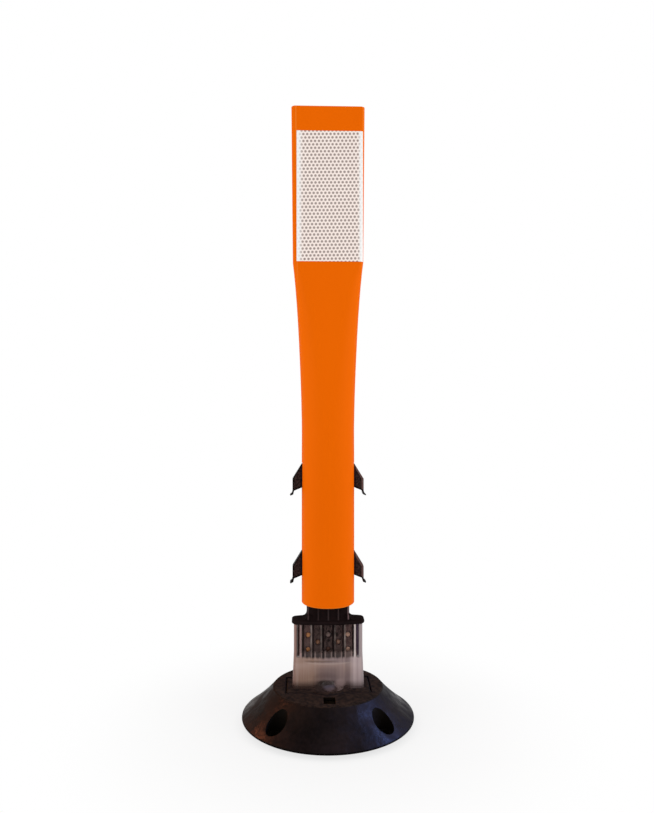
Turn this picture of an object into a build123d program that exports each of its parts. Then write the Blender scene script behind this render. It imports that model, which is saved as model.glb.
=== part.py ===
"""Flexible traffic delineator post on a bolt-down base.

Millimetres, +Z up, origin in the middle of the base's underside. The front, with the sheet, faces -Y.
A flattened tube is held by barbs on a ribbed stem. The stem's fluted plate is moulded into a urethane
hinge, whose foot plate is hooked and latched into the base.
"""

import os
from math import atan2, cos, pi, sin, tan

from build123d import *

os.makedirs("parts", exist_ok=True)

LOW = (Align.CENTER, Align.CENTER, Align.MIN)

# Base moulding
base_radius = 98.2
base_height = 39.0
rim_height = 7.0
rim_wall = 1.6
rim_width = 18.8
rim_undercut = 12.4
rim_fillet = 0.75
crown_radius = 62.2
crown_fillet = 2.0
skirt_wall = 4.2
skirt_sag = 1.4
crown_wall = 5.0
rib_count = 8
rib_thickness = 4.0

# Anchor bolt holes in the base
bolt_count = 4
bolt_edge_distance = 17.6
bolt_hole_radius = 7.0
bolt_recess_radius = 11.8
bolt_seat_height = 8.0
bolt_boss_wall = 4.0

# Foot plate and the socket that it drops into
foot_width = 95.6
foot_depth = 46.0
foot_thickness = 12.0
foot_lobe_radius = 26.0
foot_lobe_offset = 3.5
foot_chamfer = 1.6
foot_gap = 0.6
socket_wall = 4.0
socket_floor = 4.0
hook_spacing = 60.0
hook_width = 12.0
hook_reach = 4.5
hook_thickness = 4.0
hook_gap = 0.5

# Anchors that hold the urethane to the foot plate
stud_neck_radius = 7.0
stud_neck_height = 3.0
stud_head_radius = 11.0
stud_head_height = 4.5
stud_head_fillet = 3.5
plug_spacing = 56.0
plug_radius = 6.0
plug_head_radius = 9.0
plug_head_height = 4.0
bond_gap = 0.2

# Release latch, a rocker under the window in the crown
latch_width = 12.0
latch_gap = 0.5
latch_leg_thickness = 3.5
latch_leg_gap = 1.25
latch_pivot_height = 14.0
latch_bead_radius = 3.0
latch_bead_gap = 0.3
latch_nose_drop = 4.3
latch_nose_thickness = 2.7
latch_nose_grip = 2.8
latch_nose_gap = 0.4
latch_arm_thickness = 4.2
latch_arm_gap = 5.0
latch_saddle_depth = 12.0
bridge_width = 6.5
bridge_thickness = 3.2
window_depth = 17.6

# Urethane hinge
flex_height = 72.4
flex_width = 78.2
flex_foot_width = 81.8
flex_depth = 24.0
flex_corner = 5.0
flex_flare_height = 41.0
flex_toe_radius = 19.1
flex_toe_offset = 3.4
flex_toe_height = 13.0
flex_toe_sweep = 4.5

# Upper connector: fluted plate, flange and stem
plate_width = 70.0
plate_thickness = 5.0
plate_height = 36.2
fin_count = 6
fin_pitch = 11.4
fin_thickness = 2.2
fin_depth = 20.0
fin_overhang = 1.5
end_fin_spacing = 68.0
lens_half_width = 37.0
bond_hole_radius = 2.9
bond_hole_rise = 8.35
bond_hole_drop = 22.7
flange_width = 83.0
flange_depth = 31.0
flange_bulge_width = 104.0
flange_thickness = 4.5
flange_corner = 6.0
flange_fillet = 1.8
stem_width = 49.0
stem_depth = 21.4
stem_length = 185.8
stem_foot_fillet = 5.0
stem_rib_count = 5
stem_rib_width = 1.6
stem_rib_height = 1.3
stem_rib_length = 40.0
centring_fin_thickness = 3.0
centring_fin_length = 150.0
centring_fin_chamfer = 4.0
centring_gap = 0.3

# Post tube
tube_radius = 30.15
tube_wall = 4.0
tube_gap = 18.2
tube_edge_chamfer = 0.9
round_flat = 0.2
round_length = 174.0
flare_length = 215.0
paddle_length = 177.9
paddle_foot_width = 80.6
paddle_top_width = 84.0
paddle_corner = 5.0

# Barbs
barb_width = 12.0
barb_pitch = 100.0
barb_drop = 8.6
barb_reach = 10.5
barb_ramp_height = 17.0
barb_face_height = 13.5
barb_hook_rise = 3.6
barb_heel = 9.65
barb_root_drop = 55.0
barb_root_inset = 11.15
barb_bead_radius = 3.5
barb_finger_inset = 5.5
barb_lip_reach = 2.9
barb_lip_drop = 5.6
barb_lip_thickness = 1.8
barb_side_gap = 0.3
barb_bead_gap = 0.3
barb_pocket_top_gap = 2.0
barb_web = 8.0
slot_gap = 0.6
slot_top_gap = 1.3

# Reflective sheet on the front of the paddle
sheet_width = 75.6
sheet_height = 148.9
sheet_thickness = 0.4
sheet_gap = 0.05
sheet_shift = 1.8
sheet_top_margin = 28.5

# Heights that several pieces share
flange_low = base_height + flex_height
flange_top = flange_low + flange_thickness
tube_low = flange_top + tube_gap
round_top = tube_low + round_length
paddle_low = round_top + flare_length
post_top = paddle_low + paddle_length
foot_low = base_height - foot_thickness
stem_top = flange_top + stem_length
barb_top = stem_top - barb_drop


def foot_outline(grow):
    """The foot plate's outline seen from above, grown on every side."""
    with BuildSketch() as outline:
        Rectangle(foot_width + 2 * grow, foot_depth + 2 * grow)
        with Locations((0, foot_lobe_offset), (0, -foot_lobe_offset)):
            Circle(foot_lobe_radius + grow)
    return outline.sketch


def anchor_stud(grow):
    """The mushroom stud on the foot plate, grown on every side."""
    with BuildPart() as stud:
        with Locations((0, 0, base_height)):
            Cylinder(stud_neck_radius + grow, stud_neck_height, align=LOW)
        with Locations((0, 0, base_height + stud_neck_height - grow)):
            Cylinder(stud_head_radius + grow, stud_head_height + 2 * grow, align=LOW)
        fillet(stud.edges().group_by(Axis.Z)[-1], stud_head_fillet)
    return stud.part


def fluted_plate(grow):
    """The plate inside the urethane: fins with lens-shaped ends, a web between them and bond holes."""
    web_low = flange_low - plate_height
    fin_low = web_low - fin_overhang
    with BuildPart() as plate:
        with BuildSketch(Plane.XY.offset(fin_low - grow)):
            with GridLocations(fin_pitch, 0, fin_count, 1):
                Rectangle(fin_thickness + 2 * grow, fin_depth + 2 * grow)
            with GridLocations(end_fin_spacing, 0, 2, 1):
                Rectangle(fin_thickness + 2 * grow, fin_depth + 2 * grow)
            Ellipse(lens_half_width + grow, fin_depth / 2 + grow, mode=Mode.INTERSECT)
        extrude(amount=flange_low - fin_low + grow)
        with BuildSketch(Plane.XY.offset(web_low - grow)):
            Rectangle(plate_width + 2 * grow, plate_thickness + 2 * grow)
        extrude(amount=plate_height + grow)
        with BuildSketch(Plane.XZ):
            with Locations((0, flange_low - bond_hole_drop)):
                with GridLocations(2 * fin_pitch, 2 * bond_hole_rise, 3, 2):
                    Circle(bond_hole_radius - grow)
                with GridLocations(2 * fin_pitch, 0, 2, 1):
                    Circle(bond_hole_radius - grow)
        extrude(amount=plate_thickness, both=True, mode=Mode.SUBTRACT)
    return plate.part


def tube_section(width, corner, inset=0.0):
    """A rounded rectangle as long round as the tube, so that the wall only bends where it flattens."""
    depth = pi * tube_radius - width + (4 - pi) * corner
    return RectangleRounded(width - 2 * inset, depth - 2 * inset, corner - inset)


def tube_body(inset):
    """The tube's outside, or its bore when inset by the wall."""
    round_corner = tube_radius - round_flat / 2
    swell = paddle_foot_width - 2 * tube_radius
    with BuildPart() as body:
        with BuildSketch(Plane.XY.offset(tube_low)):
            tube_section(2 * tube_radius, round_corner, inset)
        extrude(amount=round_length)
        with BuildSketch(Plane.XY.offset(round_top)):
            tube_section(2 * tube_radius, round_corner, inset)
        with BuildSketch(Plane.XY.offset(round_top + 0.37 * flare_length)):
            tube_section(2 * tube_radius + 0.12 * swell, 0.90 * tube_radius, inset)
        with BuildSketch(Plane.XY.offset(round_top + 0.64 * flare_length)):
            tube_section(2 * tube_radius + 0.38 * swell, 0.73 * tube_radius, inset)
        with BuildSketch(Plane.XY.offset(round_top + 0.85 * flare_length)):
            tube_section(2 * tube_radius + 0.68 * swell, 0.50 * tube_radius, inset)
        with BuildSketch(Plane.XY.offset(paddle_low)):
            tube_section(paddle_foot_width, paddle_corner, inset)
        loft()
        with BuildSketch(Plane.XY.offset(paddle_low)):
            tube_section(paddle_foot_width, paddle_corner, inset)
        with BuildSketch(Plane.XY.offset(post_top)):
            tube_section(paddle_top_width, paddle_corner, inset)
        loft(ruled=True)
    return body.part


# Base: a hollow-ground conical skirt round a flat crown, open underneath with ribs, bolt bosses and the socket
foot_front = foot_lobe_offset + foot_lobe_radius
socket_low = foot_low - socket_floor
crown_under = base_height - crown_wall
bolt_circle_radius = base_radius - bolt_edge_distance
skirt_angle = atan2(base_height - rim_height, base_radius - crown_radius)
skirt_run = (skirt_wall + skirt_sag) / sin(skirt_angle)
skirt_middle = (
    (base_radius + crown_radius) / 2 - skirt_sag * sin(skirt_angle),
    (base_height + rim_height) / 2 - skirt_sag * cos(skirt_angle),
)
core_radius = base_radius - rim_width
core_shoulder = rim_height + (rim_width - skirt_run) * tan(skirt_angle)
core_top_radius = base_radius - skirt_run - (crown_under - rim_height) / tan(skirt_angle)
latch_y = -(foot_front + latch_leg_gap + latch_leg_thickness / 2)
window_y = -(foot_front + bridge_width + window_depth / 2)
bay_width = latch_width + 2 * latch_gap
bay_top = base_height - bridge_thickness

with BuildPart() as core:
    with BuildSketch(Plane.XZ):
        with BuildLine():
            Polyline(
                (0, 0),
                (core_radius, 0),
                (core_radius, core_shoulder),
                (core_top_radius, crown_under),
                (0, crown_under),
                close=True,
            )
        make_face()
    revolve(axis=Axis.Z)
    with PolarLocations(bolt_circle_radius, bolt_count, start_angle=45):
        Cylinder(bolt_recess_radius + bolt_boss_wall, base_height, align=LOW, mode=Mode.SUBTRACT)
    with PolarLocations(core_radius / 2, rib_count):
        Box(core_radius, rib_thickness, base_height, align=LOW, mode=Mode.SUBTRACT)
    with BuildSketch(Plane.XY.offset(socket_low)):
        add(foot_outline(foot_gap + socket_wall))
    extrude(amount=foot_thickness + socket_floor, mode=Mode.SUBTRACT)
    with Locations((0, latch_y, 0)):
        Box(bay_width + 2 * rib_thickness, latch_saddle_depth, latch_pivot_height, align=LOW, mode=Mode.SUBTRACT)

with BuildPart() as base:
    with BuildSketch(Plane.XZ) as skirt:
        with BuildLine():
            Polyline(
                (crown_radius, base_height),
                (0, base_height),
                (0, 0),
                (base_radius - rim_undercut, 0),
                (base_radius, rim_height - rim_wall),
                (base_radius, rim_height),
            )
            ThreePointArc((base_radius, rim_height), skirt_middle, (crown_radius, base_height))
        make_face()
        fillet(skirt.vertices().group_by(Axis.X)[-1], rim_fillet)
        fillet(skirt.vertices().group_by(Axis.Y)[-1].sort_by(Axis.X)[-1], crown_fillet)
    revolve(axis=Axis.Z)
    add(core.part, mode=Mode.SUBTRACT)
    with PolarLocations(bolt_circle_radius, bolt_count, start_angle=45):
        Cylinder(bolt_hole_radius, base_height, align=LOW, mode=Mode.SUBTRACT)
    with Locations((0, 0, bolt_seat_height)):
        with PolarLocations(bolt_circle_radius, bolt_count, start_angle=45):
            Cylinder(bolt_recess_radius, base_height, align=LOW, mode=Mode.SUBTRACT)
    with BuildSketch(Plane.XY.offset(foot_low)):
        add(foot_outline(foot_gap))
    extrude(amount=foot_thickness, mode=Mode.SUBTRACT)
    with Locations((0, foot_depth / 2, foot_low)):
        with GridLocations(hook_spacing, 0, 2, 1):
            Box(
                hook_width + 2 * hook_gap,
                2 * (hook_reach + hook_gap),
                hook_thickness + hook_gap,
                align=LOW,
                mode=Mode.SUBTRACT,
            )
    with Locations((0, latch_leg_gap - foot_front, latch_pivot_height)):
        Box(
            bay_width,
            latch_leg_gap + bridge_width + window_depth,
            bay_top - latch_pivot_height,
            align=(Align.CENTER, Align.MAX, Align.MIN),
            mode=Mode.SUBTRACT,
        )
    with Locations((0, window_y, bay_top)):
        Box(bay_width, window_depth, bridge_thickness, align=LOW, mode=Mode.SUBTRACT)
    with BuildSketch(Plane.YZ):
        with Locations((latch_y, latch_pivot_height)):
            Circle(latch_bead_radius + latch_bead_gap)
    extrude(amount=bay_width / 2, both=True, mode=Mode.SUBTRACT)
base.part.label = "base"
export_step(base.part, "parts/base.step")

# Foot plate: flush with the crown, hooked under it at the back and notched for the latch at the front
nose_top = base_height - latch_nose_drop
nose_low = nose_top - latch_nose_thickness
nose_tip = -foot_front + latch_nose_grip

with BuildPart() as foot_plate:
    with BuildSketch(Plane.XY.offset(foot_low)):
        add(foot_outline(0))
    extrude(amount=foot_thickness)
    chamfer(foot_plate.edges().group_by(Axis.Z)[-1], foot_chamfer)
    with Locations((0, foot_depth / 2, foot_low)):
        with GridLocations(hook_spacing, 0, 2, 1):
            Box(hook_width, 2 * hook_reach, hook_thickness, align=LOW)
    add(anchor_stud(0))
    with Locations((0, -foot_front, nose_low - latch_nose_gap)):
        Box(
            bay_width,
            2 * (latch_nose_grip + latch_nose_gap),
            bay_top - nose_low + latch_nose_gap,
            align=LOW,
            mode=Mode.SUBTRACT,
        )
    with Locations((0, 0, foot_low)):
        with GridLocations(plug_spacing, 0, 2, 1):
            Cylinder(plug_radius + bond_gap, foot_thickness, align=LOW, mode=Mode.SUBTRACT)
            Cylinder(plug_head_radius + bond_gap, plug_head_height + bond_gap, align=LOW, mode=Mode.SUBTRACT)
foot_plate.part.label = "foot_plate"
export_step(foot_plate.part, "parts/foot_plate.step")

# Release latch: a leg on a round bead, a nose over the foot plate's notch and an arm to the window
with BuildPart() as release_latch:
    leg_back = latch_y + latch_leg_thickness / 2
    leg_front = latch_y - latch_leg_thickness / 2
    arm_front = -(foot_front + bridge_width + window_depth - latch_arm_gap)
    with BuildSketch(Plane.YZ):
        with BuildLine():
            Polyline(
                (leg_back, latch_pivot_height),
                (leg_back, nose_low),
                (nose_tip, nose_low),
                (nose_tip, nose_top),
                (arm_front, nose_top),
                (arm_front, nose_top - latch_arm_thickness),
                (leg_front, nose_top - latch_arm_thickness),
                (leg_front, latch_pivot_height),
                close=True,
            )
        make_face()
        with Locations((latch_y, latch_pivot_height)):
            Circle(latch_bead_radius)
    extrude(amount=latch_width / 2, both=True)
release_latch.part.label = "release_latch"
export_step(release_latch.part, "parts/release_latch.step")

# Urethane hinge: a slab with a swept toe front and back, moulded round the plate and the stud
flare_top = base_height + flex_flare_height
toe_top_radius = flex_depth / 2 - flex_toe_offset
toe_middle_radius = toe_top_radius + flex_toe_sweep / flex_toe_height * (flex_toe_radius - toe_top_radius)

with BuildPart() as flex_toe:
    with BuildSketch(Plane.XZ):
        with BuildLine():
            ThreePointArc(
                (flex_toe_radius, 0),
                (toe_middle_radius, flex_toe_sweep),
                (toe_top_radius, flex_toe_height),
            )
            Polyline(
                (toe_top_radius, flex_toe_height),
                (0, flex_toe_height),
                (0, 0),
                (flex_toe_radius, 0),
            )
        make_face()
    revolve(axis=Axis.Z)

with BuildPart() as flex_hinge:
    with BuildSketch(Plane.XY.offset(base_height)):
        RectangleRounded(flex_foot_width, flex_depth, flex_corner)
    with BuildSketch(Plane.XY.offset(flare_top)):
        RectangleRounded(flex_width, flex_depth, flex_corner)
    loft(ruled=True)
    with BuildSketch(Plane.XY.offset(flare_top)):
        RectangleRounded(flex_width, flex_depth, flex_corner)
    extrude(amount=flange_low - flare_top)
    with Locations((0, flex_toe_offset, base_height), (0, -flex_toe_offset, base_height)):
        add(flex_toe.part)
    with GridLocations(plug_spacing, 0, 2, 1):
        with Locations((0, 0, foot_low + bond_gap)):
            Cylinder(plug_radius, foot_thickness, align=LOW)
            Cylinder(plug_head_radius, plug_head_height - bond_gap, align=LOW)
    add(fluted_plate(bond_gap), mode=Mode.SUBTRACT)
    add(anchor_stud(bond_gap), mode=Mode.SUBTRACT)
flex_hinge.part.label = "flex_hinge"
export_step(flex_hinge.part, "parts/flex_hinge.step")

# Upper connector: fluted plate below the flange, ribbed stem with barb pockets above it
root_x = tube_radius - barb_root_inset
seat_x = root_x - barb_bead_radius - barb_bead_gap

with BuildPart() as upper_connector:
    with BuildSketch(Plane.XY.offset(flange_low)) as flange:
        Ellipse(flange_bulge_width / 2, flange_depth / 2)
        Rectangle(flange_width, flange_depth, mode=Mode.INTERSECT)
        fillet(flange.vertices(), flange_corner)
    extrude(amount=flange_thickness)
    fillet(upper_connector.edges().group_by(Axis.Z)[-1], flange_fillet)
    fillet(upper_connector.edges().group_by(Axis.Z)[0], flange_fillet)
    with BuildSketch(Plane.XY.offset(flange_top)):
        SlotOverall(stem_width, stem_depth)
    extrude(amount=stem_length)
    stem_foot = upper_connector.edges().filter_by_position(Axis.Z, flange_top, flange_top)
    fillet(stem_foot.filter_by(lambda edge: abs(edge.center().X) < stem_width / 2 + 0.1), stem_foot_fillet)
    with BuildSketch(Plane.XY.offset(flange_top)):
        with GridLocations(fin_pitch, 0, stem_rib_count, 1):
            Rectangle(stem_rib_width, stem_depth + 2 * stem_rib_height)
        SlotOverall(stem_width, stem_depth + 2 * stem_rib_height, mode=Mode.INTERSECT)
    extrude(amount=stem_rib_length)
    with BuildSketch(Plane.XY.offset(stem_top - centring_fin_length)):
        Rectangle(centring_fin_thickness, 2 * (tube_radius - tube_wall - centring_gap))
    extrude(amount=centring_fin_length)
    fin_tips = upper_connector.edges().filter_by(Axis.X).group_by(Axis.Y)
    chamfer(fin_tips[0] + fin_tips[-1], centring_fin_chamfer)
    for level in (barb_top, barb_top - barb_pitch):
        root_z = level - barb_root_drop
        with BuildSketch(Plane.XZ):
            for side in (-1, 1):
                with BuildLine():
                    Polyline(
                        (side * stem_width, root_z - barb_bead_radius - barb_bead_gap),
                        (side * seat_x, root_z - barb_bead_radius - barb_bead_gap),
                        (side * seat_x, root_z + barb_bead_radius),
                        (side * barb_web / 2, level + barb_pocket_top_gap),
                        (side * stem_width, level + barb_pocket_top_gap),
                        close=True,
                    )
                make_face()
        extrude(amount=barb_width / 2 + barb_side_gap, both=True, mode=Mode.SUBTRACT)
    add(fluted_plate(0))
upper_connector.part.label = "upper_connector"
export_step(upper_connector.part, "parts/upper_connector.step")

# Post tube: round below with two pairs of barb slots, flattened to a paddle above
face_low = barb_top - barb_ramp_height - barb_face_height
hook_z = face_low + barb_hook_rise

with BuildPart() as post_tube:
    add(tube_body(0))
    add(tube_body(tube_wall), mode=Mode.SUBTRACT)
    chamfer(post_tube.faces().sort_by(Axis.Z)[0].outer_wire().edges(), tube_edge_chamfer)
    for level in (0, -barb_pitch):
        with Locations((0, 0, hook_z - slot_gap + level)):
            Box(
                4 * tube_radius,
                barb_width + 2 * slot_gap,
                barb_top + slot_top_gap - hook_z + slot_gap,
                align=LOW,
                mode=Mode.SUBTRACT,
            )
post_tube.part.label = "post_tube"
export_step(post_tube.part, "parts/post_tube.step")

# Barbs: a wedge with a curled lip, on a finger that rocks on its bead in the stem
for level_name, level in (("upper", barb_top), ("lower", barb_top - barb_pitch)):
    for side_name, side in (("left", -1), ("right", 1)):
        face_x = tube_radius + barb_reach
        heel_x = tube_radius - barb_heel
        finger_x = tube_radius - barb_finger_inset
        face_z = level - barb_ramp_height - barb_face_height
        root_z = level - barb_root_drop
        hook_slope = barb_hook_rise / (barb_reach - barb_lip_thickness)
        with BuildPart() as barb:
            with BuildSketch(Plane.XZ):
                with BuildLine():
                    Polyline(
                        (side * heel_x, level),
                        (side * tube_radius, level),
                        (side * face_x, level - barb_ramp_height),
                        (side * face_x, face_z),
                        (side * (face_x + 0.3 * barb_lip_reach), face_z - 0.55 * barb_lip_drop),
                        (side * (face_x + barb_lip_reach), face_z - 0.85 * barb_lip_drop),
                        (side * (face_x + 0.75 * barb_lip_reach), face_z - barb_lip_drop),
                        (side * (face_x - 0.3 * barb_lip_reach), face_z - 0.75 * barb_lip_drop),
                        (side * (face_x - barb_lip_thickness), face_z),
                        (side * finger_x, face_z + hook_slope * (face_x - barb_lip_thickness - finger_x)),
                        (side * (root_x + barb_bead_radius), root_z),
                        (side * (root_x - barb_bead_radius), root_z),
                        (side * heel_x, (root_z + face_z) / 2),
                        close=True,
                    )
                make_face()
                with Locations((side * root_x, root_z)):
                    Circle(barb_bead_radius)
            extrude(amount=barb_width / 2, both=True)
        barb.part.label = f"barb_{level_name}_{side_name}"
        export_step(barb.part, f"parts/barb_{level_name}_{side_name}.step")

# Reflective sheet: a thin skin on the paddle's front that turns a little round its corners
sheet_top = post_top - sheet_top_margin

with BuildPart() as reflective_sheet:
    for skin, mode in ((sheet_gap + sheet_thickness, Mode.ADD), (sheet_gap, Mode.SUBTRACT)):
        with BuildSketch(Plane.XY.offset(paddle_low)):
            tube_section(paddle_foot_width, paddle_corner, -skin)
        with BuildSketch(Plane.XY.offset(post_top)):
            tube_section(paddle_top_width, paddle_corner, -skin)
        loft(ruled=True, mode=mode)
    with Locations((sheet_shift, 0, sheet_top)):
        Box(
            sheet_width,
            2 * tube_radius,
            sheet_height,
            align=(Align.CENTER, Align.MAX, Align.MAX),
            mode=Mode.INTERSECT,
        )
reflective_sheet.part.label = "reflective_sheet"
export_step(reflective_sheet.part, "parts/reflective_sheet.step")
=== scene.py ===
# %% [markdown]
# # Dressing a traffic delineator post
#
# The imported CAD model gives the rigid shapes: a round bolt-down base, a foot plate let into it, a
# moulded connector with four barbs, an orange tube flattened into a paddle and a reflective sheet.
# This lesson adds what CAD solids lack: the finishes, and a see-through urethane hinge, cut so that
# it can bend.
# It starts by loading that model, because everything else is placed and sized from it.

# %% Load the imported model
from math import cos, floor, radians, sin

import bpy
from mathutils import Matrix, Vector


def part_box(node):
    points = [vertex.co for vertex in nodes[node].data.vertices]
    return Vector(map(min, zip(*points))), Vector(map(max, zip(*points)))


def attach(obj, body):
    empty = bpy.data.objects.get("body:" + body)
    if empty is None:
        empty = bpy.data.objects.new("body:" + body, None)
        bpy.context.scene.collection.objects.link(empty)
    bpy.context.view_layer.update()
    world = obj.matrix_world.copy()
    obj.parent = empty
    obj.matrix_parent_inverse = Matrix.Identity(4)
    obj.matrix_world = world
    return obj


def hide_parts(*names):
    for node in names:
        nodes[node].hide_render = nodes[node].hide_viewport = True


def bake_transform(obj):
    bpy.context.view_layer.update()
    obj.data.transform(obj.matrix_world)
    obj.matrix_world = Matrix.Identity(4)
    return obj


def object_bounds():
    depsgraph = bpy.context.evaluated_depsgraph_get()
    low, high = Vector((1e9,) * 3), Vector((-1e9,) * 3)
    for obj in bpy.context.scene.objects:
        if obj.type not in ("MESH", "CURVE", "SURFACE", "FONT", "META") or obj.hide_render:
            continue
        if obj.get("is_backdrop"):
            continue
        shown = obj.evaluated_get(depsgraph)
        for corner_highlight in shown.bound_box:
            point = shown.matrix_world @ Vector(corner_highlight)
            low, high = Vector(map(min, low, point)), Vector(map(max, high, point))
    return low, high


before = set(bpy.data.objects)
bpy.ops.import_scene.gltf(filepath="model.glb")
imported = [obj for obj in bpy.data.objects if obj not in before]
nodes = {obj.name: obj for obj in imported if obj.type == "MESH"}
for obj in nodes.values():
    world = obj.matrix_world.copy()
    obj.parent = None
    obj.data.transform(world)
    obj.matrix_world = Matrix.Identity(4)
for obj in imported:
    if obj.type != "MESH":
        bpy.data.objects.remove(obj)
cad_low, cad_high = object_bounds()
MM = 0.001


def in_mm(length):
    """A length in metres as rounded millimetres, for printing."""
    return round(length / MM, 1)


print("CAD box in mm:", list(map(in_mm, cad_low)), list(map(in_mm, cad_high)))

# %% [markdown]
# ## Camera
#
# The picture was taken level, from the height of the post's middle and from less than a metre away,
# with the post turned two degrees. A longer lens from further off would frame the post as well, but
# how far the camera looks down on the base and up at the tube's foot settles the distance. The
# camera is level, so uprights stay upright, and a very small shift centres the post as in the
# picture.

# %% Camera
CAMERA_DISTANCE, CAMERA_HEIGHT = 0.815, 0.3586
CAMERA_TURN = radians(2.1)
LENS, SENSOR_WIDTH = 31.386, 36.0
SIDE_SHIFT = -0.0012
camera_data = bpy.data.cameras.new("camera")
camera_data.lens = LENS
camera_data.sensor_width = SENSOR_WIDTH
camera_data.shift_x = SIDE_SHIFT
camera = bpy.data.objects.new("camera", camera_data)
camera.location = (
    -CAMERA_DISTANCE * sin(CAMERA_TURN),
    -CAMERA_DISTANCE * cos(CAMERA_TURN),
    CAMERA_HEIGHT,
)
camera.rotation_euler = (radians(90), 0.0, -CAMERA_TURN)
bpy.context.scene.collection.objects.link(camera)
bpy.context.scene.camera = camera
bpy.context.scene.view_settings.view_transform = "Standard"
print("camera at", list(map(in_mm, camera.location)), "mm with a lens of", LENS)

# %% [markdown]
# ## Writing shader maths as Python
#
# Every finish below is a sum over a surface's place. Its nodes could be added and linked one by one,
# but a tree of a hundred nodes is hard to read that way, so nodes are written as expressions. A Wire
# is one output socket: adding or multiplying wires adds Math nodes to the tree.


# %% Wires
class Wire:
    """An output socket that can be used in sums."""

    def __init__(self, finish, socket):
        self.finish = finish
        self.socket = socket

    def math(self, operation, first, second=0.0):
        return self.finish.add("ShaderNodeMath", {0: first, 1: second}, operation=operation)

    def __add__(self, other):
        return self.math("ADD", self, other)

    def __sub__(self, other):
        return self.math("SUBTRACT", self, other)

    def __rsub__(self, other):
        return self.math("SUBTRACT", other, self)

    def __mul__(self, other):
        return self.math("MULTIPLY", self, other)

    def __truediv__(self, other):
        return self.math("DIVIDE", self, other)

    __radd__ = __add__
    __rmul__ = __mul__

    def __abs__(self):
        return self.math("ABSOLUTE", self)

    def __mod__(self, other):
        return self.math("FLOORED_MODULO", self, other)

    def __pow__(self, other):
        return self.math("POWER", self, other)

    def __floor__(self):
        return self.math("FLOOR", self)

    def larger(self, other):
        return self.math("MAXIMUM", self, other)

    def smaller(self, other):
        return self.math("MINIMUM", self, other)

    def rise(self, start, end):
        """0 before start, 1 after end and smooth between; start may be the larger."""
        inputs = {"Value": self, "From Min": start, "From Max": end}
        return self.finish.add("ShaderNodeMapRange", inputs, interpolation_type="SMOOTHSTEP")

    def band(self, low, high, soft):
        """1 between low and high, fading to 0 over soft on each side."""
        return self.rise(low - soft, low) * self.rise(high + soft, high)

    def stripe(self, middle, outer, inner):
        """1 within inner of a middle value, fading to 0 at outer from it."""
        return abs(self - middle).rise(outer, inner)


def span(aside, along):
    """The straight distance covered by two wires at right angles."""
    return (aside ** 2.0 + along ** 2.0) ** 0.5


def tools(kind):
    """The names of a class's own methods, for printing."""
    return ", ".join(name for name in vars(kind) if not name.startswith("_"))


print("besides sums, a wire has:", tools(Wire))

# %% [markdown]
# A Finish is the node tree of one material, or of the world. Its add method makes any node that
# isn't a sum. A surface is then painted as a maker would do it: a ground colour first, and one coat
# after another over it, each with a mask that says where it lies.


# %% Finishes
class Finish:
    """The node tree of one material or world, with its nodes written as calls."""

    def __init__(self, owner, attribute=None):
        owner.use_nodes = True
        self.owner = owner
        self.attribute = attribute
        self.tree = owner.node_tree
        self.tree.nodes.clear()

    def add(self, kind, inputs=None, out=0, **settings):
        node = self.tree.nodes.new(kind)
        for name, value in settings.items():
            setattr(node, name, value)
        for name, value in (inputs or {}).items():
            if isinstance(value, Wire):
                self.tree.links.new(value.socket, node.inputs[name])
            elif isinstance(value, tuple) and len(node.inputs[name].default_value) > len(value):
                node.inputs[name].default_value = (*value, 1.0)
            else:
                node.inputs[name].default_value = value
        return Wire(self, node.outputs[out]) if node.outputs else None

    def place(self):
        """Object coordinates, or the piece's own attribute where the piece bends."""
        if self.attribute:
            return self.add("ShaderNodeAttribute", out="Vector", attribute_name=self.attribute)
        return self.add("ShaderNodeTexCoord", out="Object")

    def xyz(self):
        """The three coordinates of a place as wires."""
        split = self.add("ShaderNodeSeparateXYZ", {0: self.place()})
        return [Wire(self, socket) for socket in split.socket.node.outputs]

    def mix(self, mask, first, second):
        """A colour that goes from first to second as mask goes from 0 to 1."""
        return self.add("ShaderNodeMix", {0: mask, 6: first, 7: second}, out=2, data_type="RGBA")

    def paint(self, ground, *coats):
        """Lays coats over a ground colour, in order; a coat is its mask and its colour."""
        for mask, colour in coats:
            ground = self.mix(mask, ground, colour)
        return ground

    def noise(self, scale, detail=2.0, stretch=(1.0, 1.0, 1.0)):
        """Noise from 0 to 1 over the place, stretched along the axes."""
        spread = self.add("ShaderNodeMapping", {"Vector": self.place(), "Scale": stretch})
        return self.add("ShaderNodeTexNoise", {"Vector": spread, "Scale": scale, "Detail": detail})

    def bump(self, height, distance, strength=1.0):
        inputs = {"Height": height, "Distance": distance, "Strength": strength}
        return self.add("ShaderNodeBump", inputs)

    def surface(self, **inputs):
        """Ends the tree in a Principled shader; keys are socket names with _ for a space."""
        sockets = {name.replace("_", " "): value for name, value in inputs.items()}
        shader = self.add("ShaderNodeBsdfPrincipled", sockets)
        self.add("ShaderNodeOutputMaterial", {"Surface": shader})
        print(self.owner.name, "has", len(self.tree.nodes), "nodes")
        return self.owner


print("a finish has:", tools(Finish))


# %% Colours and coating
def new_finish(name, attribute=None):
    return Finish(bpy.data.materials.new(name), attribute)


def shade(red, green, blue):
    """A colour as a picture shows it, 0 to 255, made linear for a shader."""
    parts = (red / 255, green / 255, blue / 255)
    return tuple(v / 12.92 if v <= 0.04045 else ((v + 0.055) / 1.055) ** 2.4 for v in parts)


def coat_node(name, material):
    """Gives one CAD node a finish."""
    for place in nodes[name].material_slots:
        place.material = material
    print(name, "wears", material.name)


print("a middle grey is", [round(v, 3) for v in shade(128, 128, 128)], "in a shader")
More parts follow.
